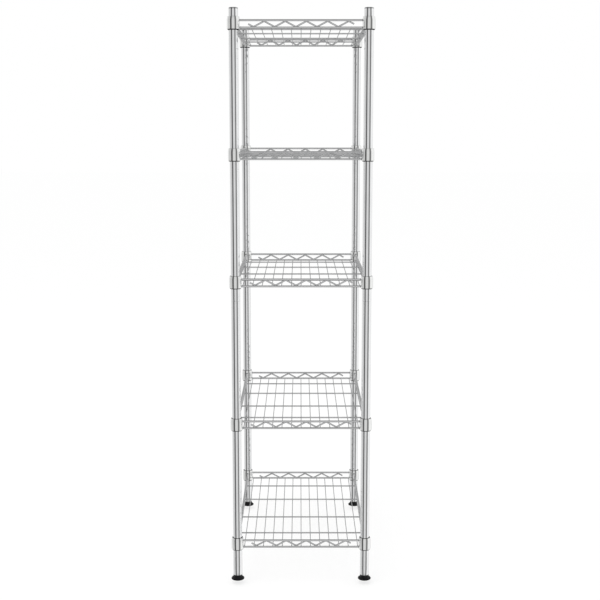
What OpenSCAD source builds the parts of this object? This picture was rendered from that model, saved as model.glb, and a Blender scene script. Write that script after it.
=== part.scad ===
// Wire shelving rack: five wire shelves on four grooved posts with levelling feet.
// X runs along the short side, Y along the long side and Z up. The origin is on the floor, under the centre.

/* [Footprint] */
// Distance between post centre lines across the short side
span_x = 343; // [300:1:460]
// Distance between post centre lines along the long side
span_y = 593; // [480:1:900]
// Height of the rack, from the floor to the top of the end caps
rack_h = 1511; // [1450:0.2:1900]

/* [Posts] */
// Outer diameter of the post tubes
post_d = 23.8; // [22:0.1:30]
// Wall of the post tubes
post_wall = 1.2; // [1:0.1:2]
// Distance from one rolled groove to the next
groove_pitch = 25.4; // [24:0.1:32]
// Depth of a groove
groove_depth = 0.4; // [0.3:0.05:0.8]
// Width of a groove at the surface
groove_w = 2; // [1.6:0.1:4]
// Height of the lowest groove above the lower end of the tube
groove_start = 26.1; // [15:0.1:40]
// Least length of tube above the top groove
post_end = 15; // [8:0.5:25]
// Height of the seam between the lower and the upper tube, moved to half way between two grooves
seam_h = 763; // [600:1:775]
// Length of the joiner inside the seam
joiner_len = 60; // [40:1:90]
// Wall of the joiner
joiner_wall = 2.5; // [1.5:0.1:4]
// Height of the end cap above the tube
cap_h = 3.2; // [3:0.1:8]
// Depth of the end cap's plug in the tube
cap_plug = 14; // [8:0.5:20]
// Wall of the end cap's plug
cap_wall = 1.6; // [1:0.1:3]

/* [Shelf heights] */
// Height of the lowest shelf's lower rim wires, moved to the nearest groove like the others
shelf_1_h = 90; // [80:1:200]
// Height of the second shelf
shelf_2_h = 420; // [300:1:500]
// Height of the third shelf
shelf_3_h = 801; // [700:1:900]
// Height of the fourth shelf
shelf_4_h = 1131; // [1030:1:1200]
// Drop from the top of the tubes to the top shelf
top_drop = 47; // [40:1:120]

/* [Shelf wires] */
// Diameter of the rim wires
rim_d = 5; // [4:0.1:6]
// Height from the lower to the upper rim wire
rim_h = 18.2; // [16:0.1:24]
// Diameter of the zigzag wires
truss_d = 4.4; // [3:0.1:5]
// Half a wave of the zigzag on the short side
wave_x = 26.8; // [22:0.1:36]
// Half a wave of the zigzag on the long side
wave_y = 25.4; // [22:0.1:36]
// Least distance from a post's centre line to the first bend
wave_end = 50; // [40:1:70]
// Diameter of the deck wires
deck_d = 2.1; // [1.8:0.1:4]
// Distance between deck wires
deck_pitch = 25.5; // [18:0.1:40]
// Least distance from a rim wire to the outer deck wire
deck_edge = 12; // [10:0.5:30]
// Diameter of the cross bars
bar_d = 3.7; // [3.5:0.1:6]
// Distance between the two inner cross bars
bar_inner = 153; // [80:1:200]
// Distance between the two outer cross bars
bar_outer = 406; // [300:1:430]

/* [Collars and sleeves] */
// Height of a corner collar
collar_h = 31.5; // [30:0.5:40]
// Collar below the lower rim wire's centre
collar_drop = 4; // [3:0.1:8]
// Wall of a collar
collar_wall = 0.9; // [0.8:0.1:2]
// Height of the collar's tapered shoulder
shoulder_h = 8; // [4:0.5:12]
// Wall of a sleeve at its upper end
sleeve_wall = 1.5; // [0.6:0.05:2.5]
// How much thicker a sleeve is at its lower end
sleeve_taper = 1.4; // [0.5:0.05:2]
// Sleeve that shows below the collar
sleeve_lip = 2.2; // [1:0.1:6]
// Gap between the two halves of a sleeve
sleeve_split = 1.2; // [0.5:0.1:3]

/* [Feet] */
// Diameter of a foot pad
foot_d = 35; // [30:0.1:45]
// Height of a foot pad
foot_h = 12.6; // [10:0.1:20]
// Thickness of the pad's rim
foot_rim = 3.4; // [2:0.1:5]
// Straight neck at the top of a foot pad
foot_neck = 4.8; // [0.6:0.1:5.4]
// Diameter of the stud
stud_d = 9.7; // [7.7:0.1:11.7]
// Length of the stud
stud_len = 40; // [36:1:60]
// Bottom of the pad below the stud
stud_floor = 3; // [2:0.1:6]
// Length of the threaded insert
insert_len = 26; // [22:1:40]

/* [Clearances] */
// Gap between pieces that move past each other
gap = 0.3; // [0.2:0.05:0.4]
// Gap between a stud and its pad, which turns on it
turn_gap = 0.08; // [0.05:0.01:0.1]
// Gap between pieces that are pressed together
seat_gap = 0.05; // [0.02:0.01:0.1]
// How far welded wires sink into each other
weld = 0.4; // [0.2:0.05:0.6]

/* [Hidden] */
$fn = 48;
chrome = [0.78, 0.79, 0.80];
black_plastic = [0.06, 0.06, 0.07];
grey_plastic = [0.42, 0.42, 0.43];
zinc = [0.62, 0.64, 0.66];

post_r = post_d / 2;
bore_r = post_r - post_wall;
post_base = foot_h + gap;
groove_0 = post_base + groove_start;
post_top = rack_h - cap_h;
groove_count = floor((post_top - post_end - groove_0) / groove_pitch) + 1;
half_pitch = groove_pitch / 2;
seam_z = groove_z(nearest_groove(seam_h - half_pitch)) + half_pitch;

shelf_heights = [shelf_1_h, shelf_2_h, shelf_3_h, shelf_4_h, post_top - top_drop];
// Corners run round the rack from the front left, where the front is the short side at negative Y.
corners = [[-1, -1], [1, -1], [1, 1], [-1, 1]];
front_posts = [1, 2];
back_posts = [3, 4];

rim_r = rim_d / 2;
truss_r = truss_d / 2;
// A zigzag's bends are welded this far from the rims' centres. On the short sides it laps the rims' inner
// faces, a rim radius within their centres, and on the long sides it stands between the rims, in their plane.
truss_reach = rim_r + truss_r - weld / 2;
lapped_rise = rim_h / 2 - rim_r;
lapped_inset = sqrt(pow(truss_reach, 2) - pow(rim_r, 2));
level_rise = rim_h / 2 - truss_reach;
bar_z = rim_r + bar_d / 2 - weld;
deck_z = bar_z - bar_d / 2 - deck_d / 2 + weld;
deck_side = floor((span_x / 2 - rim_r - deck_edge) / deck_pitch);

collar_top = collar_h - collar_drop;
sleeve_base = collar_drop + sleeve_lip;
sleeve_top = collar_top - gap;
sleeve_in = post_r + seat_gap;
sleeve_out_top = post_r + sleeve_wall;
sleeve_out_base = sleeve_out_top + sleeve_taper;
collar_in_top = sleeve_out_top + gap;
collar_in_base = sleeve_out_base + gap;
collar_r = collar_in_base + collar_wall;
rim_reach = collar_in_base + collar_wall - weld;

SHELF_WIRES = ["rim_wires", "truss_wires", "deck_wires", "cross_bars"];
SHELF_CORNERS = ["corner_collars", "front_sleeves", "back_sleeves"];
POST_PIECES = ["lower_tube", "upper_tube", "end_cap", "foot_insert", "foot_stud", "foot_pad"];

// Height of groove i, counted from 0.
function groove_z(i) = groove_0 + i * groove_pitch;

// Number of the groove nearest to height z.
function nearest_groove(z) = round((z - groove_0) / groove_pitch);

// Height of shelf k, at the centre of its lower rim wires and of the groove that carries it.
function shelf_z(k) = groove_z(nearest_groove(shelf_heights[k - 1]));

// Places children at shelf k.
module at_shelf(k) {
    translate([0, 0, shelf_z(k)]) children();
}

// Places children on the centre line of the post at corner c, from 1 to 4.
module at_post(c) {
    corner = corners[c - 1];
    translate([corner[0] * span_x / 2, corner[1] * span_y / 2, 0]) children();
}

// A straight wire along X, centred.
module wire(length, d) {
    rotate([0, 90, 0]) cylinder(d = d, h = length, center = true);
}

// Number of half waves that a zigzag has between posts that lie span apart: always an odd number.
function half_waves(span, wave) = 2 * floor(((span - 2 * wave_end) / wave - 1) / 2) + 1;

// A zigzag wire along X in the XZ plane, mitred at its bends, with tails that end at mid height.
module zigzag(count, wave, rise) {
    slope = atan(2 * rise / wave);
    side = norm([wave, 2 * rise]);
    reach = (count + 1) / 2 * wave;
    for (i = [-1:count]) {
        start = (i - count / 2) * wave;
        up = i % 2 == 0 ? 1 : -1;
        from = max(start, -reach);
        to = min(start + wave, reach);
        intersection() {
            translate([start + wave / 2, 0, 0]) rotate([0, 90 - up * slope, 0])
                cylinder(d = truss_d, h = 2 * side, center = true);
            translate([from, -truss_d, -rim_h]) cube([to - from, 2 * truss_d, 2 * rim_h]);
        }
    }
}

// Eight rim wires of shelf k, from collar to collar.
module rim_wires(k) {
    color(chrome) at_shelf(k) for (z = [0, rim_h], side = [-1, 1]) {
        translate([0, side * span_y / 2, z]) wire(span_x - 2 * rim_reach, rim_d);
        translate([side * span_x / 2, 0, z]) rotate([0, 0, 90]) wire(span_y - 2 * rim_reach, rim_d);
    }
}

// Four zigzag wires of shelf k: inside the rim wires on the short sides, between them on the long sides.
module truss_wires(k) {
    color(chrome) at_shelf(k) translate([0, 0, rim_h / 2]) for (side = [-1, 1]) {
        translate([0, side * (span_y / 2 - lapped_inset), 0])
            zigzag(half_waves(span_x, wave_x), wave_x, lapped_rise);
        translate([side * span_x / 2, 0, 0]) rotate([0, 0, 90])
            zigzag(half_waves(span_y, wave_y), wave_y, level_rise);
    }
}

// Deck wires of shelf k along the long side, butted to the lower rim wires.
module deck_wires(k) {
    color(chrome) at_shelf(k) for (i = [-deck_side:deck_side])
        translate([i * deck_pitch, 0, deck_z]) rotate([0, 0, 90]) wire(span_y - rim_d + 2 * weld, deck_d);
}

// Four cross bars of shelf k, over the deck wires and on the long lower rim wires.
module cross_bars(k) {
    color(chrome) at_shelf(k) for (reach = [bar_inner, bar_outer], side = [-1, 1])
        translate([0, side * reach / 2, bar_z]) wire(span_x + rim_r, bar_d);
}

// Half section of a collar, from its lower edge to its tapered shoulder.
module collar_section() {
    shoulder_z = collar_top - shoulder_h;
    polygon([
        [collar_in_base, -collar_drop], [collar_r, -collar_drop], [collar_r, shoulder_z],
        [collar_in_top + collar_wall, collar_top], [collar_in_top, collar_top]
    ]);
}

// Four corner collars of shelf k.
module corner_collars(k) {
    color(chrome) at_shelf(k) for (c = [1:4]) at_post(c) rotate_extrude() collar_section();
}

// Half section of a split sleeve, with the rib that sits in the groove.
module sleeve_section() {
    rib = groove_depth - 2 * seat_gap;
    rib_w = groove_w / 2 - 2 * seat_gap;
    rib_tip = rib_w * (1 - rib / groove_depth);
    polygon([
        [sleeve_in, -sleeve_base], [sleeve_out_base - sleeve_wall / 2, -sleeve_base],
        [sleeve_out_base, -collar_drop], [sleeve_out_top, sleeve_top], [sleeve_in, sleeve_top],
        [sleeve_in, rib_w], [sleeve_in - rib, rib_tip], [sleeve_in - rib, -rib_tip], [sleeve_in, -rib_w]
    ]);
}

// Pairs of sleeve halves that carry shelf k on the given posts.
module split_sleeves(k, posts) {
    color(black_plastic) at_shelf(k) for (c = posts) at_post(c) difference() {
        rotate_extrude() sleeve_section();
        cube([4 * sleeve_out_base, sleeve_split, 4 * collar_h], center = true);
    }
}

// Half section of a post tube from z0 to z1, with the grooves that lie between.
module tube_section(z0, z1) {
    outer = [
        for (i = [0:groove_count - 1])
            let (z = groove_z(i))
            if (z - groove_w / 2 > z0 && z + groove_w / 2 < z1)
                each [[post_r, z - groove_w / 2], [post_r - groove_depth, z], [post_r, z + groove_w / 2]]
    ];
    polygon(concat([[bore_r, z1], [bore_r, z0], [post_r, z0]], outer, [[post_r, z1]]));
}

// Lower half of the post at corner c.
module lower_tube(c) {
    color(chrome) at_post(c) rotate_extrude() tube_section(post_base, seam_z);
}

// Upper half of the post at corner c.
module upper_tube(c) {
    color(chrome) at_post(c) rotate_extrude() tube_section(seam_z, post_top);
}

// A hollow plug that is pressed into a tube.
module tube_plug(length, wall) {
    difference() {
        cylinder(r = bore_r - seat_gap, h = length);
        translate([0, 0, -length]) cylinder(r = bore_r - seat_gap - wall, h = 3 * length);
    }
}

// Joiners inside the seams of the four posts.
module post_joiners() {
    color(zinc) for (c = [1:4]) at_post(c)
        translate([0, 0, seam_z - joiner_len / 2]) tube_plug(joiner_len, joiner_wall);
}

// End cap of the post at corner c: a hollow plug under a rounded head.
module end_cap(c) {
    round_r = cap_h / 2;
    color(grey_plastic) at_post(c) translate([0, 0, post_top]) {
        rotate_extrude() {
            square([post_r, cap_h - round_r]);
            square([post_r - round_r, cap_h]);
            intersection() {
                translate([post_r - round_r, cap_h - round_r]) circle(r = round_r);
                square([post_r, cap_h]);
            }
        }
        translate([0, 0, -cap_plug]) tube_plug(cap_plug, cap_wall);
    }
}

// Threaded insert in the lower end of the post at corner c.
module foot_insert(c) {
    color(zinc) at_post(c) translate([0, 0, post_base])
        tube_plug(insert_len, bore_r - seat_gap - stud_d / 2 - gap);
}

// Stud that screws into the insert of the post at corner c.
module foot_stud(c) {
    color(zinc) at_post(c) translate([0, 0, stud_floor]) cylinder(d = stud_d, h = stud_len);
}

// Foot pad at corner c: a flat rim that sweeps in to a neck under the post, with a socket for the stud.
module foot_pad(c) {
    foot_r = foot_d / 2;
    socket_r = stud_d / 2 + turn_gap;
    chamfer = 0.38 * foot_rim;
    sweep_h = foot_h - foot_neck - foot_rim;
    sweep_steps = 8;
    // The sweep is half a cosine wave, upright at the rim and at the neck.
    sweep = [
        for (i = [0:sweep_steps])
            let (t = i / sweep_steps)
            [post_r + (foot_r - chamfer - post_r) * (1 + cos(180 * t)) / 2, foot_rim + sweep_h * t]
    ];
    color(black_plastic) at_post(c) rotate_extrude() polygon(concat(
        [[0, 0], [foot_r - chamfer, 0], [foot_r, chamfer], [foot_r, foot_rim - chamfer]],
        sweep,
        [[post_r, foot_h], [socket_r, foot_h], [socket_r, stud_floor - turn_gap], [0, stud_floor - turn_gap]]
    ));
}

for (k = [1:5]) {
    shelf = str("shelf_", k, "_");
    rim_wires(k);
    truss_wires(k);
    deck_wires(k);
    cross_bars(k);
    corner_collars(k);
    split_sleeves(k, front_posts);
    split_sleeves(k, back_posts);
}
for (c = [1:4]) {
    post = str("post_", c, "_");
    lower_tube(c);
    upper_tube(c);
    end_cap(c);
    foot_insert(c);
    foot_stud(c);
    foot_pad(c);
}
post_joiners();
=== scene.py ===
"""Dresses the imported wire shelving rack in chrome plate, zinc plate and black plastic.

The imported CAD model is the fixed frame, in metres. The rack's near short side faces -Y. Sizes are read
from the CAD nodes, or are the named values that each sub-assembly holds as its fields.
"""

import logging
import math
from collections.abc import Sequence
from dataclasses import dataclass, field
from enum import Enum

import bmesh
import bpy
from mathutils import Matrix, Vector


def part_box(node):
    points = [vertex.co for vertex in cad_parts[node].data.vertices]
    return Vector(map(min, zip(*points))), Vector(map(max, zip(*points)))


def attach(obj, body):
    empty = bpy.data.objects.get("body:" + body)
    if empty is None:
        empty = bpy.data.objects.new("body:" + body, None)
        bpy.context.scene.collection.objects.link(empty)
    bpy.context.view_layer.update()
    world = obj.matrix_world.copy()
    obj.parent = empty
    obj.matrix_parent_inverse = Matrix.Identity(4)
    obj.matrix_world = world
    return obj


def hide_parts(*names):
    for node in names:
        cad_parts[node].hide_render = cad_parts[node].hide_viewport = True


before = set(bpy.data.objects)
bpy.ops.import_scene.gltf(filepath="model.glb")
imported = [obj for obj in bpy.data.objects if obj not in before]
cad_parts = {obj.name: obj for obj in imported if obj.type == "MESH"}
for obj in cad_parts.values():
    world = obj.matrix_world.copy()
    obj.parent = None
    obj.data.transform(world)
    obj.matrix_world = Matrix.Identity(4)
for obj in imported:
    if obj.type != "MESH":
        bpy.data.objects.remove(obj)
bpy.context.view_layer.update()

LOG = logging.getLogger("wire_rack")
MM = 0.001

Ring = list[Vector]
Profile = list[tuple[float, float]]
Colour = tuple[float, float, float]


class Slot(Enum):
    """The record's material slots."""

    WIRE = "chrome_wire"
    POST = "chrome_post"
    COLLAR = "chrome_collar"
    ZINC = "zinc_steel"
    SLEEVE = "sleeve_plastic"
    CAP = "cap_plastic"
    FOOT = "foot_plastic"


class Corner(Enum):
    """The four posts: their number in the CAD and the signs of their place along X and Y."""

    NEAR_LEFT = (1, -1, -1)
    NEAR_RIGHT = (2, 1, -1)
    FAR_RIGHT = (3, 1, 1)
    FAR_LEFT = (4, -1, 1)

    @property
    def number(self) -> int:
        """The post's number in the CAD."""
        return self.value[0]

    def at(self, rack: "RackFrame") -> Vector:
        """The foot of the post's axis, at the frame's zero height."""
        return Vector((self.value[1] * rack.post_x, self.value[2] * rack.post_y, 0.0))


class Side(Enum):
    """The four sides of a shelf: whether one runs along X, and which way it faces."""

    NEAR = (True, -1)
    FAR = (True, 1)
    LEFT = (False, -1)
    RIGHT = (False, 1)

    @property
    def runs_x(self) -> bool:
        """Whether the side runs along X."""
        return self.value[0]

    def plane(self, rack: "RackFrame") -> float:
        """Distance from the shelf's centre to the centre lines of the side's rims."""
        return rack.post_y if self.runs_x else rack.post_x

    def half_span(self, rack: "RackFrame") -> float:
        """Distance along the side from its middle to a post's axis."""
        return rack.post_x if self.runs_x else rack.post_y

    def point(self, along: float, out: float, height: float) -> Vector:
        """Turns a place on a side into a point of the shelf.

        Args:
            along: Distance from the middle of the side, towards +X or +Y.
            out: Distance from the shelf's centre to the side's plane.
            height: Height above the lower rim's centre line.

        Returns:
            The point, in the shelf's own frame.
        """
        runs_x, facing = self.value
        return Vector((along, facing * out, height)) if runs_x else Vector((facing * out, along, height))


@dataclass(frozen=True)
class RackFrame:
    """Sizes and places of the rack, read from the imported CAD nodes."""

    post_x: float
    post_y: float
    post_radius: float
    tube_base: float
    tube_seam: float
    tube_top: float
    rack_top: float
    shelf_levels: tuple[float, ...]
    rim_radius: float
    rim_rise: float
    collar_radius: float
    collar_low: float
    collar_high: float
    sleeve_low: float
    sleeve_high: float
    deck_radius: float
    deck_level: float
    deck_reach: float
    deck_spread: float
    bar_radius: float
    bar_level: float
    bar_reach: float
    bar_spread: float
    pad_radius: float
    pad_height: float
    stud_radius: float
    stud_low: float
    stud_high: float

    @classmethod
    def measure(cls, shelf_count: int = 5) -> "RackFrame":
        """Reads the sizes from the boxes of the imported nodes.

        Args:
            shelf_count: How many shelves the rack has.

        Returns:
            The sizes, in metres.
        """
        low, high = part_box("post_3_lower_tube")
        post_x, post_y = (low.x + high.x) / 2, (low.y + high.y) / 2
        rims = [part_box(f"shelf_{number}_rim_wires") for number in range(1, shelf_count + 1)]
        rim_radius = rims[0][1].x - post_x
        level = rims[0][0].z + rim_radius
        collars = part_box("shelf_1_corner_collars")
        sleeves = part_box("shelf_1_back_sleeves")
        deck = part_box("shelf_1_deck_wires")
        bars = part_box("shelf_1_cross_bars")
        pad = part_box("post_3_foot_pad")
        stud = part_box("post_3_foot_stud")
        deck_radius = (deck[1].z - deck[0].z) / 2
        bar_radius = (bars[1].z - bars[0].z) / 2
        return cls(
            post_x=post_x,
            post_y=post_y,
            post_radius=(high.x - low.x) / 2,
            tube_base=low.z,
            tube_seam=high.z,
            tube_top=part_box("post_3_upper_tube")[1].z,
            rack_top=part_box("post_3_end_cap")[1].z,
            shelf_levels=tuple(box[0].z + rim_radius for box in rims),
            rim_radius=rim_radius,
            rim_rise=rims[0][1].z - rims[0][0].z - 2 * rim_radius,
            collar_radius=collars[1].x - post_x,
            collar_low=collars[0].z - level,
            collar_high=collars[1].z - level,
            sleeve_low=sleeves[0].z - level,
            sleeve_high=sleeves[1].z - level,
            deck_radius=deck_radius,
            deck_level=(deck[0].z + deck[1].z) / 2 - level,
            deck_reach=deck[1].y,
            deck_spread=deck[1].x - deck_radius,
            bar_radius=bar_radius,
            bar_level=(bars[0].z + bars[1].z) / 2 - level,
            bar_reach=bars[1].x,
            bar_spread=bars[1].y - bar_radius,
            pad_radius=(pad[1].x - pad[0].x) / 2,
            pad_height=pad[1].z - pad[0].z,
            stud_radius=(stud[1].x - stud[0].x) / 2,
            stud_low=stud[0].z,
            stud_high=stud[1].z,
        )


def circle(sides: int) -> list[tuple[float, float]]:
    """Cosine and sine of evenly spaced points round a circle."""
    return [(math.cos(math.tau * k / sides), math.sin(math.tau * k / sides)) for k in range(sides)]


class MeshShape:
    """Gathers the points and faces of one piece, in the piece's own frame."""

    STEEP = 0.9

    def __init__(self) -> None:
        """Starts with no points and no faces."""
        self.points: list[Vector] = []
        self.faces: list[tuple[int, ...]] = []

    def loft(self, rings: Sequence[Ring], endless: bool = False) -> None:
        """Skins a row of closed rings that have the same number of points.

        Args:
            rings: The rings, in order.
            endless: Joins the last ring to the first; otherwise both ends are closed with a face.
        """
        start, width, count = len(self.points), len(rings[0]), len(rings)
        for ring in rings:
            self.points.extend(ring)
        for row in range(count if endless else count - 1):
            here, above = start + row * width, start + (row + 1) % count * width
            for i in range(width):
                j = (i + 1) % width
                self.faces.append((here + i, here + j, above + j, above + i))
        if not endless:
            self.faces.append(tuple(range(start, start + width)))
            self.faces.append(tuple(range(start + (count - 1) * width, start + count * width)))

    def turn(self, profile: Profile, sides: int, centre: Vector, endless: bool = True) -> None:
        """Turns a profile about a vertical axis.

        Args:
            profile: Pairs of radius and height; a loop, or a line that is closed at both ends.
            sides: Faces round the axis.
            centre: A point of the axis, from which the heights count.
            endless: The profile is a loop.
        """
        self.loft([[centre + Vector((r * x, r * y, z)) for x, y in circle(sides)] for r, z in profile], endless)

    def turn_part(self, profile: Profile, start: float, stop: float, steps: int, centre: Vector) -> None:
        """Turns a closed profile through part of a circle and closes its two ends.

        Args:
            profile: Pairs of radius and height, as a loop.
            start: First angle from +X, in radians.
            stop: Last angle from +X, in radians.
            steps: Faces along the arc.
            centre: A point of the axis, from which the heights count.
        """
        angles = [start + (stop - start) * i / steps for i in range(steps + 1)]
        self.loft([[centre + Vector((r * math.cos(a), r * math.sin(a), z)) for r, z in profile] for a in angles])

    def wire(self, path: Sequence[Vector], radii: Sequence[float], sides: int = 14) -> None:
        """Sweeps a round wire along a path.

        Args:
            path: Points of the centre line.
            radii: The wire's radius at each point.
            sides: Faces round the wire.
        """
        rings: list[Ring] = []
        across = None
        for i, point in enumerate(path):
            ahead = (path[min(i + 1, len(path) - 1)] - path[max(i - 1, 0)]).normalized()
            if across is None:
                steep = abs(ahead.z) > self.STEEP
                across = ahead.cross(Vector((1, 0, 0)) if steep else Vector((0, 0, 1)))
            across = (across - ahead * across.dot(ahead)).normalized()
            up = ahead.cross(across)
            rings.append([point + (across * x + up * y) * radii[i] for x, y in circle(sides)])
        self.loft(rings)

    def weld(self, centre: Vector, half: Vector, sides: int = 10, rows: int = 5, trim: float = 0.12) -> None:
        """Adds a weld nugget, a flattened drop of metal.

        Args:
            centre: The nugget's centre.
            half: Its half sizes along X, Y and Z.
            sides: Faces round it.
            rows: Rows of faces from bottom to top.
            trim: Share of the half turn from bottom to top that each flat end takes off.
        """
        rings = []
        for row in range(rows + 1):
            tilt = math.pi * (trim + (1 - 2 * trim) * row / rows)
            r, z = math.sin(tilt), -math.cos(tilt)
            rings.append([centre + Vector((half.x * r * x, half.y * r * y, half.z * z)) for x, y in circle(sides)])
        self.loft(rings)

    def mesh(self, name: str, crease: float = 42.0) -> bpy.types.Mesh:
        """Makes the Blender mesh, with smooth faces and creases at sharp edges.

        Args:
            name: The mesh's name.
            crease: Edges that turn by more than this many degrees stay sharp.

        Returns:
            The mesh.
        """
        made = bpy.data.meshes.new(name)
        made.from_pydata([tuple(point) for point in self.points], [], self.faces)
        shell = bmesh.new()
        shell.from_mesh(made)
        bmesh.ops.recalc_face_normals(shell, faces=shell.faces)
        shell.to_mesh(made)
        shell.free()
        made.shade_smooth()
        made.set_sharp_from_angle(angle=math.radians(crease))
        return made


def rounded(corners: Sequence[tuple[float, float, float]], steps: int = 4, most: float = 0.49) -> Profile:
    """Rounds the corners of a closed profile.

    Args:
        corners: Radius, height and fillet radius of each corner, in order round the loop.
        steps: Faces in each fillet.
        most: Largest share of an edge that one fillet takes up.

    Returns:
        The rounded profile as a loop.
    """
    made: Profile = []
    for i, (x, y, fillet) in enumerate(corners):
        here = Vector((x, y))
        if fillet <= 0:
            made.append((x, y))
            continue
        before = Vector(corners[i - 1][:2]) - here
        after = Vector(corners[(i + 1) % len(corners)][:2]) - here
        half = before.angle(after) / 2
        reach = min(fillet / math.tan(half), before.length * most, after.length * most)
        start, stop = here + before.normalized() * reach, here + after.normalized() * reach
        for k in range(steps + 1):
            t = k / steps
            spot = start * (1 - t) ** 2 + here * 2 * t * (1 - t) + stop * t ** 2
            made.append((spot.x, spot.y))
    return made


class NodeBoard:
    """Lays out the nodes of one material."""

    SPREAD_OVER = (0.3, 0.7)
    TINT_OVER = (0.32, 0.68)

    def __init__(self, name: str) -> None:
        """Makes an empty material with a Principled surface.

        Args:
            name: The material's name.
        """
        self.material = bpy.data.materials.new(name)
        self.material.use_nodes = True
        self.tree = self.material.node_tree
        self.shader = self.tree.nodes["Principled BSDF"]

    def noise(self, scale: float, detail: float, stretch: Colour = (1.0, 1.0, 1.0)) -> bpy.types.NodeSocket:
        """Adds noise in the piece's own coordinates.

        Args:
            scale: Waves to the metre.
            detail: Octaves of finer noise.
            stretch: Scale along each axis.

        Returns:
            The noise's value.
        """
        place = self.tree.nodes.new("ShaderNodeTexCoord")
        mapping = self.tree.nodes.new("ShaderNodeMapping")
        mapping.inputs["Scale"].default_value = stretch
        texture = self.tree.nodes.new("ShaderNodeTexNoise")
        texture.inputs["Scale"].default_value = scale
        texture.inputs["Detail"].default_value = detail
        self.tree.links.new(place.outputs["Object"], mapping.inputs["Vector"])
        self.tree.links.new(mapping.outputs["Vector"], texture.inputs["Vector"])
        return texture.outputs["Fac"]

    def spread(self, source: bpy.types.NodeSocket, low: float, high: float) -> bpy.types.NodeSocket:
        """Spreads the middle of a noise over a range of values.

        Args:
            source: The noise.
            low: Value at the noise's dark places.
            high: Value at its bright places.

        Returns:
            The new value.
        """
        ramp = self.tree.nodes.new("ShaderNodeMapRange")
        ramp.inputs["From Min"].default_value, ramp.inputs["From Max"].default_value = self.SPREAD_OVER
        ramp.inputs["To Min"].default_value = low
        ramp.inputs["To Max"].default_value = high
        self.tree.links.new(source, ramp.inputs["Value"])
        return ramp.outputs["Result"]

    def tint(self, source: bpy.types.NodeSocket, dark: Colour, pale: Colour) -> None:
        """Colours the surface between two tones by a noise.

        Args:
            source: The noise.
            dark: Colour at its dark places.
            pale: Colour at its bright places.
        """
        ramp = self.tree.nodes.new("ShaderNodeValToRGB")
        for stop, position, colour in zip(ramp.color_ramp.elements, self.TINT_OVER, (dark, pale)):
            stop.position = position
            stop.color = (*colour, 1.0)
        self.tree.links.new(source, ramp.inputs["Fac"])
        self.tree.links.new(ramp.outputs["Color"], self.shader.inputs["Base Color"])

    def bump(self, source: bpy.types.NodeSocket, strength: float, height: float) -> None:
        """Raises the surface by a noise.

        Args:
            source: The noise.
            strength: How much of the relief shows, up to 1.
            height: Height of the relief, in metres.
        """
        node = self.tree.nodes.new("ShaderNodeBump")
        node.inputs["Strength"].default_value = strength
        node.inputs["Distance"].default_value = height
        self.tree.links.new(source, node.inputs["Height"])
        self.tree.links.new(node.outputs["Normal"], self.shader.inputs["Normal"])


@dataclass(frozen=True)
class MetalFinish:
    """A plated metal: chrome over drawn wire or tube, or zinc over turned steel."""

    name: str
    pale: Colour
    dark: Colour
    gloss: tuple[float, float]
    cloud_scale: float
    grain_scale: float
    grain_stretch: Colour
    grain_strength: float
    cloud_detail: float = 3.0
    grain_detail: float = 2.0
    grain_height: float = 0.02 * MM

    def material(self) -> bpy.types.Material:
        """Builds the plate: cloudy tone, uneven polish and the grain of the metal below.

        Returns:
            The material.
        """
        board = NodeBoard(self.name)
        board.shader.inputs["Metallic"].default_value = 1.0
        cloud = board.noise(self.cloud_scale, self.cloud_detail)
        grain = board.noise(self.grain_scale, self.grain_detail, self.grain_stretch)
        board.tint(cloud, self.dark, self.pale)
        board.tree.links.new(board.spread(grain, *self.gloss), board.shader.inputs["Roughness"])
        board.bump(grain, self.grain_strength, self.grain_height)
        return board.material


@dataclass(frozen=True)
class PlasticFinish:
    """A moulded plastic with a fine grain from the mould."""

    name: str
    pale: Colour
    dark: Colour
    gloss: tuple[float, float]
    sheen: float
    grain_scale: float
    grain_strength: float
    flow_scale: float = 90.0
    flow_detail: float = 4.0
    grain_detail: float = 2.0
    grain_height: float = 0.06 * MM

    def material(self) -> bpy.types.Material:
        """Builds the plastic: uneven sheen, faint flow marks and the mould's grain.

        Returns:
            The material.
        """
        board = NodeBoard(self.name)
        board.shader.inputs["Specular IOR Level"].default_value = self.sheen
        flow = board.noise(self.flow_scale, self.flow_detail)
        grain = board.noise(self.grain_scale, self.grain_detail)
        board.tint(flow, self.dark, self.pale)
        board.tree.links.new(board.spread(flow, *self.gloss), board.shader.inputs["Roughness"])
        board.bump(grain, self.grain_strength, self.grain_height)
        return board.material


FINISHES = {
    Slot.WIRE: MetalFinish("chrome_on_drawn_wire", (0.76, 0.765, 0.77), (0.71, 0.715, 0.72), (0.06, 0.13),
                           60.0, 700.0, (1.0, 1.0, 1.0), 0.08),
    Slot.POST: MetalFinish("chrome_on_rolled_tube", (0.87, 0.875, 0.88), (0.83, 0.835, 0.84), (0.05, 0.10),
                           30.0, 900.0, (1.0, 1.0, 0.08), 0.04),
    Slot.COLLAR: MetalFinish("chrome_on_drawn_collar", (0.86, 0.865, 0.855), (0.82, 0.825, 0.82), (0.06, 0.11),
                             50.0, 800.0, (1.0, 1.0, 0.3), 0.05),
    Slot.ZINC: MetalFinish("zinc_on_turned_steel", (0.66, 0.67, 0.68), (0.52, 0.53, 0.56), (0.24, 0.40),
                           140.0, 1200.0, (0.2, 0.2, 1.0), 0.2),
    Slot.SLEEVE: PlasticFinish("sleeve_black_plastic", (0.020, 0.020, 0.022), (0.012, 0.012, 0.014),
                               (0.38, 0.52), 0.25, 1500.0, 0.25),
    Slot.CAP: MetalFinish("cap_metallised_plastic", (0.46, 0.46, 0.47), (0.41, 0.41, 0.42), (0.08, 0.16),
                          60.0, 1300.0, (1.0, 1.0, 1.0), 0.1),
    Slot.FOOT: PlasticFinish("foot_black_plastic", (0.009, 0.009, 0.010), (0.005, 0.005, 0.006),
                             (0.40, 0.55), 0.18, 1100.0, 0.3),
}


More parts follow.
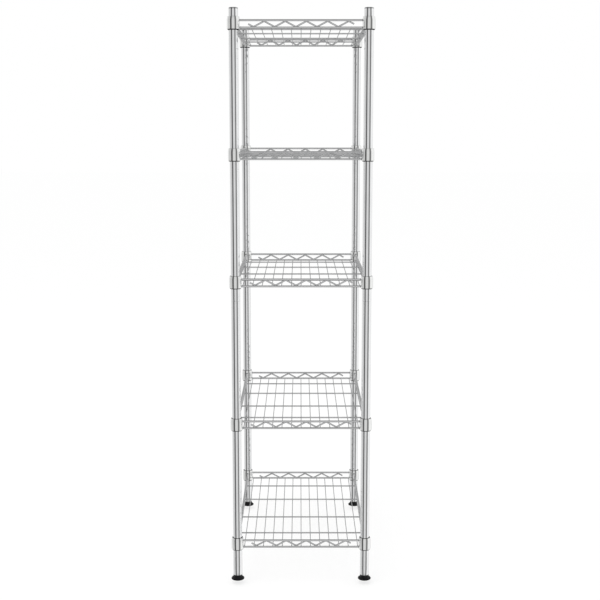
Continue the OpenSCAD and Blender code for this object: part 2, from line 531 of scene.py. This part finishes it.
class Dresser:
    """Places the pieces, gives each its finish, and ties it to the CAD body and nodes it stands for."""

    def __init__(self) -> None:
        """Builds one material for each slot."""
        self.materials = {slot: finish.material() for slot, finish in FINISHES.items()}

    def place(self, mesh: bpy.types.Mesh, node: str, body: str, slot: Slot, at: Vector) -> bpy.types.Object:
        """Puts a mesh in place of a CAD node.

        Args:
            mesh: The piece's mesh, in its own frame.
            node: The CAD node that the piece stands for.
            body: The CAD body that carries it.
            slot: The material slot that it takes its finish from.
            at: Where the piece's own origin goes.

        Returns:
            The placed piece.
        """
        if not mesh.materials:
            mesh.materials.append(self.materials[slot])
        piece = bpy.data.objects.new(f"{node}_dressed", mesh)
        bpy.context.scene.collection.objects.link(piece)
        piece.location = at
        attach(piece, body)
        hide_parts(node)
        LOG.info("piece %s: %d faces, on %s", piece.name, len(mesh.polygons), body)
        return piece

    def keep(self, node: str, slot: Slot) -> None:
        """Keeps a CAD node's own shape and gives it a finish.

        Args:
            node: The CAD node.
            slot: The material slot that it takes its finish from.
        """
        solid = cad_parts[node]
        solid.data.materials.clear()
        solid.data.materials.append(self.materials[slot])
        LOG.info("node %s: kept, %s", node, slot.value)


@dataclass
class WireShelf:
    """One welded wire shelf, drawn about the height of its lower rim."""

    rack: RackFrame
    collar_wall: float = 0.9 * MM
    collar_shoulder: float = 8.0 * MM
    collar_draw_in: float = 1.4 * MM
    collar_base_round: float = 0.4 * MM
    collar_waist_round: float = 6.0 * MM
    collar_top_round: float = 0.45 * MM
    collar_bore_rounds: tuple[float, float] = (0.2 * MM, 0.3 * MM)
    collar_sides: int = 72
    rim_stop: float = 15.6 * MM
    rim_flare: float = 1.34
    deck_flare: float = 1.5
    fillet_length: float = 2.6 * MM
    fillet_curve: tuple[tuple[float, float], ...] = ((0.0, 1.0), (0.25, 0.62), (0.55, 0.22), (1.0, 0.0))
    nose_angles: tuple[float, ...] = (0.3, 0.65, 1.05, math.pi / 2)
    nose_least: float = 0.3
    truss_radius: float = 2.2 * MM
    truss_lap: float = 0.2 * MM
    truss_sides: int = 12
    truss_weld: tuple[float, float] = (2.4 * MM, 1.35 * MM)
    truss_weld_share: float = 0.61
    deck_weld: tuple[float, float, float] = (1.5 * MM, 1.7 * MM, 0.75 * MM)
    rim_weld: tuple[float, float, float] = (1.9 * MM, 2.3 * MM, 0.9 * MM)
    short_waves: int = 9
    short_wave: float = 26.8 * MM
    long_waves: int = 19
    long_wave: float = 25.4 * MM
    bend_radius: float = 4.2 * MM
    bend_steps: int = 6
    deck_count: int = 13
    inner_bar: float = 76.5 * MM

    def plain_wire(self, shape: MeshShape, start: Vector, stop: Vector, radius: float, flare: float = 1.0) -> None:
        """Adds a straight wire with rounded or flared ends.

        Args:
            shape: The shape that takes the wire.
            start: One end of its centre line.
            stop: The other end.
            radius: The wire's radius.
            flare: How much wider than the wire its welded ends are; 1 gives rounded free ends.
        """
        along = (stop - start).normalized()
        length = (stop - start).length
        if flare > 1:
            marks = [(place * self.fillet_length, 1 + share * (flare - 1)) for place, share in self.fillet_curve]
        else:
            marks = [(radius * (1 - math.cos(a)), max(math.sin(a), self.nose_least)) for a in self.nose_angles]
        row = marks + [(length - place, wide) for place, wide in reversed(marks)]
        shape.wire([start + along * place for place, _ in row], [radius * wide for _, wide in row])

    def rim_wires(self) -> MeshShape:
        """Builds the upper and lower rim wires, welded to the collars.

        Returns:
            The shape of the eight wires.
        """
        shape = MeshShape()
        for side in Side:
            half, out = side.half_span(self.rack) - self.rim_stop, side.plane(self.rack)
            for height in (0.0, self.rack.rim_rise):
                self.plain_wire(shape, side.point(-half, out, height), side.point(half, out, height),
                                self.rack.rim_radius, self.rim_flare)
        return shape

    def zigzag(self, waves: int, wave: float, drop: float) -> list[tuple[float, float]]:
        """Draws one bent truss wire.

        Args:
            waves: Straight runs between the first bend and the last.
            wave: Length of one run along the side.
            drop: Height from a rim's centre line to the bends that it holds.

        Returns:
            Distance along the side and height of each point of its centre line.
        """
        middle = self.rack.rim_rise / 2
        rise = middle - drop
        turn = math.atan2(2 * rise, wave)
        corner = rise + self.bend_radius * (1 / math.cos(turn) - 1)
        slope = math.atan2(2 * corner, wave)
        tangent = self.bend_radius * math.tan(slope)
        tail = (waves + 1) / 2 * wave
        path = [(-tail, middle)]
        for i in range(waves + 1):
            along, sign = (i - waves / 2) * wave, (1 if i % 2 else -1)
            for k in range(self.bend_steps + 1):
                angle = (2 * k / self.bend_steps - 1) * slope
                path.append((along + self.bend_radius * math.sin(angle),
                             middle + sign * (corner - tangent * math.sin(slope)
                                              + self.bend_radius * (math.cos(angle) - math.cos(slope)))))
        path.append((tail, middle))
        return path

    def truss_wires(self) -> MeshShape:
        """Builds the bent truss wires: lapped inside the rims on the short sides, between them on the long sides.

        Returns:
            The shape of the four wires and the welds that hold them to the rims.
        """
        shape = MeshShape()
        reach = self.rack.rim_radius + self.truss_radius - self.truss_lap
        for side in Side:
            waves, wave = (self.short_waves, self.short_wave) if side.runs_x else (self.long_waves, self.long_wave)
            drop = self.rack.rim_radius if side.runs_x else reach
            inset = math.sqrt(reach**2 - drop**2)
            out = side.plane(self.rack) - inset
            path = [side.point(along, out, height) for along, height in self.zigzag(waves, wave, drop)]
            shape.wire(path, [self.truss_radius] * len(path), self.truss_sides)
            long, thin = self.truss_weld
            half = Vector((long, thin, thin) if side.runs_x else (thin, long, thin))
            rise = self.truss_weld_share * drop
            seat = side.plane(self.rack) - self.truss_weld_share * inset
            for i in range(waves + 1):
                height = self.rack.rim_rise - rise if i % 2 else rise
                shape.weld(side.point((i - waves / 2) * wave, seat, height), half)
        return shape

    def deck_lines(self) -> list[float]:
        """Where the deck wires lie along X."""
        gap = 2 * self.rack.deck_spread / (self.deck_count - 1)
        return [(i - (self.deck_count - 1) / 2) * gap for i in range(self.deck_count)]

    def deck_wires(self) -> MeshShape:
        """Builds the long deck wires, butt welded to the near and far lower rims.

        Returns:
            The shape of all the deck wires.
        """
        shape = MeshShape()
        reach, level = self.rack.deck_reach, self.rack.deck_level
        for x in self.deck_lines():
            self.plain_wire(shape, Vector((x, -reach, level)), Vector((x, reach, level)),
                            self.rack.deck_radius, self.deck_flare)
        return shape

    def cross_bars(self) -> MeshShape:
        """Builds the four bars across the deck, with a weld at every deck wire and at both long rims.

        Returns:
            The shape of the bars and their welds.
        """
        shape = MeshShape()
        reach, level = self.rack.bar_reach, self.rack.bar_level
        seat = (self.rack.deck_level + self.rack.deck_radius + level - self.rack.bar_radius) / 2
        for y in (-self.rack.bar_spread, -self.inner_bar, self.inner_bar, self.rack.bar_spread):
            self.plain_wire(shape, Vector((-reach, y, level)), Vector((reach, y, level)), self.rack.bar_radius)
            for x in self.deck_lines():
                shape.weld(Vector((x, y, seat)), Vector(self.deck_weld))
            for x in (-self.rack.post_x, self.rack.post_x):
                shape.weld(Vector((x, y, seat)), Vector(self.rim_weld))
        return shape

    def corner_collars(self) -> MeshShape:
        """Builds the four tapered collars, drawn in at the shoulder.

        Returns:
            The shape of the four collars.
        """
        rack = self.rack
        outer, wall = rack.collar_radius, self.collar_wall
        waist = rack.collar_high - self.collar_shoulder
        neck = outer - self.collar_draw_in
        bore_top_round, bore_base_round = self.collar_bore_rounds
        profile = rounded([
            (outer, rack.collar_low, self.collar_base_round),
            (outer, waist, self.collar_waist_round),
            (neck, rack.collar_high, self.collar_top_round),
            (neck - wall, rack.collar_high, bore_top_round),
            (outer - wall, rack.collar_low, bore_base_round),
        ])
        shape = MeshShape()
        for corner in Corner:
            shape.turn(profile, self.collar_sides, corner.at(rack))
        return shape


@dataclass
class SplitSleeve:
    """The tapered two-part sleeves that a shelf's collars sit on, drawn about the shelf's own height."""

    rack: RackFrame
    bore: float = 11.95 * MM
    bead: float = 11.65 * MM
    bead_half: float = 0.9 * MM
    neck_low: float = 14.8 * MM
    neck_high: float = 13.4 * MM
    lip_top: float = -4.0 * MM
    lip_radius: float = 14.05 * MM
    slit: float = 1.2 * MM
    bore_round: float = 0.2 * MM
    lip_round: float = 0.4 * MM
    top_round: float = 0.3 * MM
    round_steps: int = 3
    arc_steps: int = 36

    def profile(self) -> Profile:
        """Draws the section of a sleeve: bore with its locating bead, lip and tapered outside.

        Returns:
            The section as a loop.
        """
        low, high = self.rack.sleeve_low, self.rack.sleeve_high
        return rounded([
            (self.bore, low, self.bore_round),
            (self.lip_radius, low, self.lip_round),
            (self.neck_low, self.lip_top, self.lip_round),
            (self.neck_high, high, self.top_round),
            (self.bore, high, self.bore_round),
            (self.bore, self.bead_half, 0.0),
            (self.bead, 0.0, 0.0),
            (self.bore, -self.bead_half, 0.0),
        ], self.round_steps)

    def halves(self, corners: Sequence[Corner]) -> MeshShape:
        """Builds both halves of each sleeve.

        Args:
            corners: The posts that carry the sleeves.

        Returns:
            The shape of all the halves.
        """
        shape = MeshShape()
        profile = self.profile()
        gap = self.slit / 2 / self.bore
        for corner in corners:
            for start in (0.0, math.pi):
                shape.turn_part(profile, start + gap, start + math.pi - gap, self.arc_steps, corner.at(self.rack))
        return shape


@dataclass
class Post:
    """One round post in two grooved tubes, with its end cap and levelling foot."""

    rack: RackFrame
    wall: float = 1.2 * MM
    groove_first: float = 39.0 * MM
    groove_pitch: float = 25.4 * MM
    groove_depth: float = 0.16 * MM
    groove_half: float = 1.0 * MM
    groove_steps: int = 6
    end_round: float = 0.4 * MM
    end_share: float = 0.3
    sides: int = 56
    arc_steps: int = 8
    pin_radius: float = 0.6 * MM
    cap_edge: float = 1.6 * MM
    cap_base_ease: float = 0.2 * MM
    cap_dish: float = 0.35 * MM
    dish_radius: float = 6.0 * MM
    dish_slope: float = 0.5 * MM
    plug_depth: float = 14.0 * MM
    plug_lead: float = 2.0 * MM
    plug_slack: float = 0.05 * MM
    plug_tip: float = 0.4 * MM
    plug_core: float = 1.2 * MM
    thread_pitch: float = 1.5 * MM
    thread_depth: float = 0.75 * MM
    thread_lead: float = 2.0 * MM
    thread_steps: int = 8
    thread_sides: int = 28
    pad_rim: float = 3.4 * MM
    pad_roll: float = 1.3 * MM
    pad_neck: float = 4.8 * MM
    pad_socket: float = 4.93 * MM
    pad_socket_floor: float = 2.92 * MM
    pad_ease: float = 0.3 * MM
    roll_steps: int = 4
    sweep_steps: int = 12

    def grooves(self, low: float, high: float) -> list[float]:
        """Finds the rolled grooves of a tube.

        Args:
            low: Height of the tube's lower end.
            high: Height of its upper end.

        Returns:
            The grooves' heights.
        """
        last = int((self.rack.tube_top - self.groove_first) / self.groove_pitch)
        every = (self.groove_first + i * self.groove_pitch for i in range(last + 1))
        return [z for z in every if low + self.groove_half < z < high - self.groove_half]

    def tube(self, low: float, high: float) -> MeshShape:
        """Builds a grooved tube with its edges broken at both ends.

        Args:
            low: Height of its lower end.
            high: Height of its upper end.

        Returns:
            The shape, about the post's own axis.
        """
        outer, bore = self.rack.post_radius, self.rack.post_radius - self.wall
        ease = self.end_round
        part = self.end_share * ease
        profile: Profile = [(outer - ease, low), (outer - part, low + part), (outer, low + ease)]
        for z in self.grooves(low, high):
            for k in range(self.groove_steps + 1):
                t = 2 * k / self.groove_steps - 1
                dip = self.groove_depth * (1 + math.cos(math.pi * t)) / 2
                profile.append((outer - dip, z + t * self.groove_half))
        profile += [(outer, high - ease), (outer - part, high - part), (outer - ease, high), (bore, high), (bore, low)]
        shape = MeshShape()
        shape.turn(profile, self.sides, Vector())
        return shape

    def end_cap(self) -> MeshShape:
        """Builds the press-in end cap: a rounded head with a shallow dish, on a plug.

        Returns:
            The shape, about the post's own axis.
        """
        outer, bore = self.rack.post_radius, self.rack.post_radius - self.wall
        seat, top = self.rack.tube_top, self.rack.rack_top
        tip, plug = seat - self.plug_depth, bore - self.plug_slack
        head: Profile = [(bore - self.plug_core, tip), (bore - self.plug_tip, tip), (plug, tip + self.plug_lead),
                         (plug, seat), (outer - self.cap_base_ease, seat), (outer, seat + self.cap_base_ease)]
        for k in range(self.arc_steps + 1):
            angle = math.pi / 2 * k / self.arc_steps
            head.append((outer - self.cap_edge * (1 - math.cos(angle)),
                         top - self.cap_edge * (1 - math.sin(angle))))
        dish = top - self.cap_dish
        head += [(self.dish_radius, top), (self.dish_radius - self.dish_slope, dish), (self.pin_radius, dish)]
        shape = MeshShape()
        shape.turn(head, self.sides, Vector(), endless=False)
        return shape

    def foot_stud(self) -> MeshShape:
        """Builds the threaded stud of the levelling foot.

        Returns:
            The shape, about the post's own axis.
        """
        low, high = self.rack.stud_low, self.rack.stud_high
        crest, root = self.rack.stud_radius, self.rack.stud_radius - self.thread_depth
        rows = round((high - low) / self.thread_pitch * self.thread_steps)
        rings: list[Ring] = []
        for row in range(rows + 1):
            z = low + (high - low) * row / rows
            lead = min(1.0, (z - low) / self.thread_lead, (high - z) / self.thread_lead)
            ring = []
            for k, (x, y) in enumerate(circle(self.thread_sides)):
                phase = ((z - low) / self.thread_pitch - k / self.thread_sides) % 1.0
                r = root + (crest - root) * lead * (1 - abs(2 * phase - 1))
                ring.append(Vector((r * x, r * y, z)))
            rings.append(ring)
        shape = MeshShape()
        shape.loft(rings)
        return shape

    def foot_pad(self) -> MeshShape:
        """Builds the foot pad: a flat base, a rolled rim that sweeps in to a neck, and a socket for the stud.

        Returns:
            The shape, about the post's own axis.
        """
        wide, top, rim, roll = self.rack.pad_radius, self.rack.pad_height, self.pad_rim, self.pad_roll
        neck, ease = self.rack.post_radius, self.pad_ease
        profile: Profile = [(self.pin_radius, 0.0)]
        for middle, start in ((roll, -math.pi / 2), (rim - roll, 0.0)):
            for k in range(self.roll_steps + 1):
                angle = start + math.pi / 2 * k / self.roll_steps
                profile.append((wide - roll * (1 - math.cos(angle)), middle + roll * math.sin(angle)))
        sweep = top - self.pad_neck - rim
        for k in range(1, self.sweep_steps + 1):
            t = k / self.sweep_steps
            profile.append((neck + (wide - roll - neck) * (1 + math.cos(math.pi * t)) / 2, rim + sweep * t))
        profile += [(neck, top - ease), (neck - ease, top), (self.pad_socket + ease, top),
                    (self.pad_socket, top - ease), (self.pad_socket, self.pad_socket_floor),
                    (self.pin_radius, self.pad_socket_floor)]
        shape = MeshShape()
        shape.turn(profile, self.sides, Vector())
        return shape


@dataclass(frozen=True)
class Card:
    """A grey card stood round the studio, which the chrome shows as a soft dark band."""

    name: str
    azimuth: float
    width: float
    soft: float
    tone: float


@dataclass
class Studio:
    """The white studio: floor, world, lamps, grey cards and camera."""

    rack: RackFrame
    floor_size: float = 60.0
    floor_drop: float = 12.0 * MM
    floor_tone: float = 0.98
    floor_glow: float = 0.74
    card_radius: float = 7.0
    card_low: float = -8.0
    card_high: float = 8.0
    card_sides: int = 180
    card_end_tone: float = 0.14
    card_end_reach: float = 0.02
    card_fade_height: float = 0.62
    card_fade_share: float = 0.35
    fill: float = 1.0
    lamp_power: float = 40.0
    lamp_size: float = 3.0
    lamp_at: tuple[float, float, float] = (-1.2, -1.6, 3.9)
    lens: float = 65.5
    shift: float = -0.02
    eye: tuple[float, float, float] = (-0.003, -3.12, 1.201)
    tilt: float = 8.15
    cards: tuple[Card, ...] = field(default_factory=lambda: (
        Card("camera_wall", 0.0, 62.0, 12.0, 0.77),
        Card("left_grade", -86.0, 56.0, 30.0, 0.66),
        Card("left_flag", -42.5, 33.0, 9.0, 0.11),
        Card("right_flag", 41.0, 34.0, 11.0, 0.22),
        Card("back_wall", 180.0, 62.0, 24.0, 0.42),
    ))

    def floor(self) -> None:
        """Lays the plain white floor, which keeps a soft shadow and lies as low as the feet screw out."""
        half = self.floor_size / 2
        shape = MeshShape()
        shape.points = [Vector((x * half, y * half, -self.floor_drop))
                        for x, y in ((-1, -1), (1, -1), (1, 1), (-1, 1))]
        shape.faces = [(0, 1, 2, 3)]
        mesh = shape.mesh("studio_floor")
        floor = bpy.data.objects.new("studio_floor", mesh)
        bpy.context.scene.collection.objects.link(floor)
        board = NodeBoard("studio_white")
        board.shader.inputs["Base Color"].default_value = (self.floor_tone, self.floor_tone, self.floor_tone, 1.0)
        board.shader.inputs["Roughness"].default_value = 1.0
        board.shader.inputs["Specular IOR Level"].default_value = 0.0
        glow = board.tree.nodes.new("ShaderNodeEmission")
        mix = board.tree.nodes.new("ShaderNodeMixShader")
        mix.inputs["Fac"].default_value = self.floor_glow
        board.tree.links.new(board.shader.outputs["BSDF"], mix.inputs[1])
        board.tree.links.new(glow.outputs["Emission"], mix.inputs[2])
        board.tree.links.new(mix.outputs["Shader"], board.tree.nodes["Material Output"].inputs["Surface"])
        mesh.materials.append(board.material)
        floor.visible_glossy = False

    def card_tone(self, azimuth: float) -> float:
        """Finds the studio's tone in a direction round the rack.

        Args:
            azimuth: Degrees from the camera's side, towards +X.

        Returns:
            The tone, 1 for the white studio.
        """
        tone = 1.0
        for card in self.cards:
            off = abs((azimuth - card.azimuth + 180.0) % 360.0 - 180.0) - card.width / 2
            share = min(max(0.5 - off / card.soft, 0.0), 1.0)
            share = share * share * (3 - 2 * share)
            tone = tone * (1 - share) + min(card.tone, tone) * share
        return tone

    def card_ring(self) -> None:
        """Stands the ring of cards, with a grey ceiling and a grey ground, seen by reflections alone."""
        low, high = self.card_low, self.card_high
        rings = [(self.card_end_reach, low, 0.0), (1.0, low, self.card_fade_share),
                 (1.0, low * self.card_fade_height, 1.0), (1.0, high * self.card_fade_height, 1.0),
                 (1.0, high, self.card_fade_share), (self.card_end_reach, high, 0.0)]
        shape, tones, rows = MeshShape(), [], []
        for reach, height, share in rings:
            radius = reach * self.card_radius
            rows.append([Vector((y * radius, -x * radius, height)) for x, y in circle(self.card_sides)])
            tones += [self.card_tone(360.0 * k / self.card_sides) * share + self.card_end_tone * (1 - share)
                      for k in range(self.card_sides)]
        shape.loft(rows)
        mesh = shape.mesh("studio_cards")
        layer = mesh.attributes.new("tone", "FLOAT", "POINT")
        layer.data.foreach_set("value", tones)
        ring = bpy.data.objects.new("studio_cards", mesh)
        bpy.context.scene.collection.objects.link(ring)
        board = NodeBoard("studio_card_grey")
        read = board.tree.nodes.new("ShaderNodeAttribute")
        read.attribute_name = "tone"
        glow = board.tree.nodes.new("ShaderNodeEmission")
        board.tree.links.new(read.outputs["Fac"], glow.inputs["Strength"])
        board.tree.links.new(glow.outputs["Emission"], board.tree.nodes["Material Output"].inputs["Surface"])
        mesh.materials.append(board.material)
        ring.visible_camera = False
        ring.visible_diffuse = False
        ring.visible_shadow = False
        ring.visible_transmission = False

    def world(self) -> None:
        """Makes the white world: full white to the camera and to reflections, and the fill as light."""
        world = bpy.data.worlds.new("studio_world")
        world.use_nodes = True
        tree = world.node_tree
        seen = tree.nodes.new("ShaderNodeLightPath")
        either = tree.nodes.new("ShaderNodeMath")
        either.operation = "MAXIMUM"
        each = tree.nodes.new("ShaderNodeMath")
        each.operation = "MAXIMUM"
        level = tree.nodes.new("ShaderNodeMapRange")
        level.inputs["To Min"].default_value = self.fill
        tree.links.new(seen.outputs["Is Camera Ray"], either.inputs[0])
        tree.links.new(seen.outputs["Is Glossy Ray"], either.inputs[1])
        tree.links.new(either.outputs["Value"], each.inputs[0])
        tree.links.new(seen.outputs["Is Transmission Ray"], each.inputs[1])
        tree.links.new(each.outputs["Value"], level.inputs["Value"])
        back = tree.nodes["Background"]
        back.inputs["Color"].default_value = (1.0, 1.0, 1.0, 1.0)
        tree.links.new(level.outputs["Result"], back.inputs["Strength"])
        bpy.context.scene.world = world

    def lamps(self) -> None:
        """Hangs one soft overhead lamp, which shades the plastics and draws the floor's shadow."""
        data = bpy.data.lights.new("studio_softbox", "AREA")
        data.shape = "DISK"
        data.size = self.lamp_size
        data.energy = self.lamp_power
        lamp = bpy.data.objects.new("studio_softbox", data)
        lamp.location = self.lamp_at
        aim = Vector((0.0, 0.0, self.rack.rack_top / 2)) - lamp.location
        lamp.rotation_euler = aim.to_track_quat("-Z", "Y").to_euler()
        lamp.visible_glossy = False
        bpy.context.scene.collection.objects.link(lamp)

    def camera(self) -> None:
        """Sets the camera at the photograph's viewing angle."""
        data = bpy.data.cameras.new("photo_camera")
        data.lens = self.lens
        data.shift_y = self.shift
        camera = bpy.data.objects.new("photo_camera", data)
        camera.location = self.eye
        camera.rotation_euler = (math.radians(90.0 - self.tilt), 0.0, 0.0)
        bpy.context.scene.collection.objects.link(camera)
        bpy.context.scene.camera = camera

    def build(self) -> None:
        """Sets up the whole studio."""
        self.floor()
        self.card_ring()
        self.world()
        self.lamps()
        self.camera()
        bpy.context.scene.view_settings.view_transform = "Standard"
        LOG.info("studio: floor, %d cards, world, lamp, camera", len(self.cards))


def dress_shelves(rack: RackFrame, dresser: Dresser) -> None:
    """Builds the wires, collars and sleeves once and places them at every shelf.

    Args:
        rack: Sizes of the frame.
        dresser: Places the pieces.
    """
    shelf, sleeve = WireShelf(rack), SplitSleeve(rack)
    moving = {
        "rim_wires": (shelf.rim_wires().mesh("rim_wires"), Slot.WIRE),
        "truss_wires": (shelf.truss_wires().mesh("truss_wires"), Slot.WIRE),
        "deck_wires": (shelf.deck_wires().mesh("deck_wires"), Slot.WIRE),
        "cross_bars": (shelf.cross_bars().mesh("cross_bars"), Slot.WIRE),
        "corner_collars": (shelf.corner_collars().mesh("corner_collars"), Slot.COLLAR),
    }
    fixed = {
        "front_sleeves": sleeve.halves((Corner.NEAR_LEFT, Corner.NEAR_RIGHT)).mesh("front_sleeves"),
        "back_sleeves": sleeve.halves((Corner.FAR_RIGHT, Corner.FAR_LEFT)).mesh("back_sleeves"),
    }
    for number, level in enumerate(rack.shelf_levels, 1):
        at = Vector((0.0, 0.0, level))
        for part, (mesh, slot) in moving.items():
            dresser.place(mesh, f"shelf_{number}_{part}", f"shelf_{number}", slot, at)
        for part, mesh in fixed.items():
            dresser.place(mesh, f"shelf_{number}_{part}", "post_frame", Slot.SLEEVE, at)


def dress_posts(rack: RackFrame, dresser: Dresser) -> None:
    """Builds one post and places it at every corner.

    Args:
        rack: Sizes of the frame.
        dresser: Places the pieces.
    """
    post = Post(rack)
    parts = {
        "lower_tube": (post.tube(rack.tube_base, rack.tube_seam).mesh("lower_tube"), "post_frame", Slot.POST),
        "upper_tube": (post.tube(rack.tube_seam, rack.tube_top).mesh("upper_tube"), "post_frame", Slot.POST),
        "end_cap": (post.end_cap().mesh("end_cap"), "post_frame", Slot.CAP),
        "foot_stud": (post.foot_stud().mesh("foot_stud"), "stud_{}", Slot.ZINC),
        "foot_pad": (post.foot_pad().mesh("foot_pad"), "foot_{}", Slot.FOOT),
    }
    for corner in Corner:
        for part, (mesh, body, slot) in parts.items():
            dresser.place(mesh, f"post_{corner.number}_{part}", body.format(corner.number), slot, corner.at(rack))
        dresser.keep(f"post_{corner.number}_foot_insert", Slot.ZINC)
    dresser.keep("post_joiners", Slot.ZINC)


def main() -> None:
    """Builds the dressed rack and its studio."""
    logging.basicConfig(level=logging.INFO, format="%(message)s")
    rack = RackFrame.measure()
    dresser = Dresser()
    dress_shelves(rack, dresser)
    dress_posts(rack, dresser)
    Studio(rack).build()
    bpy.context.view_layer.update()


if __name__ == "__main__":
    main()
